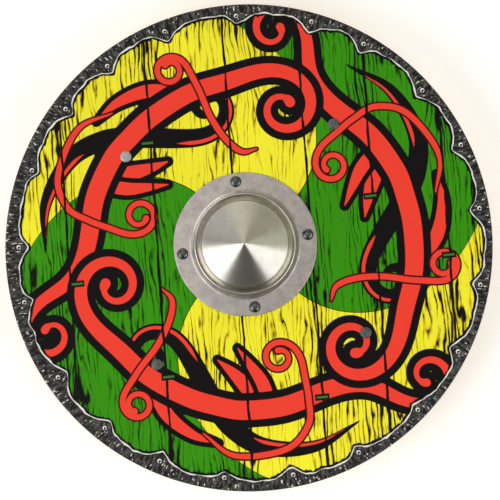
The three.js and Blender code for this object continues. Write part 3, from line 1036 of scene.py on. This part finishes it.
VIEW_UP = Vector((-math.sin(PRINT_TURN), math.cos(PRINT_TURN), 0))
VIEW_RIGHT = Vector((math.cos(PRINT_TURN), math.sin(PRINT_TURN), 0))


def towards(azimuth, elevation):
    """A direction from the shield, by the angle seen in the view and the height above the floor."""
    around, rise = math.radians(azimuth), math.radians(elevation)
    level = VIEW_RIGHT * math.cos(around) + VIEW_UP * math.sin(around)
    return level * math.cos(rise) + Vector((0, 0, math.sin(rise)))


# Name, azimuth, elevation, distance, width, height and power.
SOFT_BOXES = (
    ("left_soft_box", 207, 49, 1.7, 1.05, 0.75, 8.5),
    ("right_soft_box", 329, 49, 1.7, 1.05, 0.75, 8),
    ("far_soft_box", 140, 7, 2.0, 2.0, 0.4, 10),
)
for name, azimuth, elevation, distance, width, height, power in SOFT_BOXES:
    lamp = bpy.data.lights.new(name, "AREA")
    lamp.shape = "RECTANGLE"
    lamp.size, lamp.size_y = width, height
    lamp.energy = power
    box = bpy.data.objects.new(name, lamp)
    box.location = towards(azimuth, elevation) * distance
    box.rotation_euler = towards(azimuth, elevation).to_track_quat("Z", "Y").to_euler()
    bpy.context.scene.collection.objects.link(box)

room = bpy.data.worlds.new("studio_room")
bpy.context.scene.world = room
room.use_nodes = True
tree = room.node_tree
sky = tree.nodes["Background"]
outlook = node(tree, "TexCoord").outputs["Generated"]


def lobe(azimuth, elevation, from_angle, to_angle):
    """1 well within an angle of a direction and 0 well outside it."""
    made = node(tree, "MapRange", interpolation_type="SMOOTHSTEP")
    facing = vectored(tree, "DOT_PRODUCT", outlook, towards(azimuth, elevation))
    feed(tree, made.inputs["Value"], facing)
    made.inputs["From Min"].default_value = math.cos(math.radians(to_angle))
    made.inputs["From Max"].default_value = math.cos(math.radians(from_angle))
    return made.outputs["Result"]


# Parts of the room, each over the last: azimuth, elevation, the angle out to which it is whole and
# the angle where it ends, and its light.
ROOM_LIGHT = (0.56, 0.56, 0.54, 1)
BACKDROP_LIGHT = (0.93, 0.93, 0.93, 1)
ROOM_PARTS = (
    (150, 2, 35, 80, (1.10, 1.06, 0.98, 1)),
    (97, 50, 6, 30, (0.84, 0.78, 0.60, 1)),
    (45, 45, 15, 35, (0.36, 0.33, 0.22, 1)),
    (0, 45, 5, 28, (0.90, 0.96, 0.68, 1)),
    (152, 42, 16, 36, (0.12, 0.12, 0.12, 1)),
    (140, 76, 8, 30, (1.20, 1.17, 1.13, 1)),
    (320, 70, 8, 32, (0.24, 0.22, 0.20, 1)),
    (320, 8, 25, 55, (0.16, 0.15, 0.14, 1)),
    (268, 46, 14, 36, (0.02, 0.018, 0.015, 1)),
)
room_colour = ROOM_LIGHT
for azimuth, elevation, from_angle, to_angle, light in ROOM_PARTS:
    room_colour = laid_over(tree, lobe(azimuth, elevation, from_angle, to_angle), room_colour, light)
seen = node(tree, "LightPath").outputs["Is Camera Ray"]
room_colour = laid_over(tree, seen, room_colour, BACKDROP_LIGHT)
feed(tree, sky.inputs["Color"], room_colour)
sky.inputs["Strength"].default_value = 1.0

CAMERA_DISTANCE = 1.6
CAMERA_TILT = 3.5
CAMERA_SIDE = -45
AIM_RIGHT = 1.85 * MM
AIM_UP = -2.73 * MM
VIEW_WIDTH = 388.8 * MM
SENSOR = 36.0

camera_data = bpy.data.cameras.new("camera")
camera_data.sensor_width = SENSOR
camera_data.lens = SENSOR * CAMERA_DISTANCE / VIEW_WIDTH
camera = bpy.data.objects.new("camera", camera_data)
bpy.context.scene.collection.objects.link(camera)
aim = VIEW_RIGHT * AIM_RIGHT + VIEW_UP * AIM_UP + Vector((0, 0, BOARD_FACE))
to_camera = towards(CAMERA_SIDE, 90 - CAMERA_TILT)
camera.location = aim + to_camera * CAMERA_DISTANCE
sideways = VIEW_UP.cross(to_camera).normalized()
upright = to_camera.cross(sideways)
camera.rotation_euler = Matrix((sideways, upright, to_camera)).transposed().to_euler()
bpy.context.scene.camera = camera
bpy.context.scene.view_settings.view_transform = "Standard"
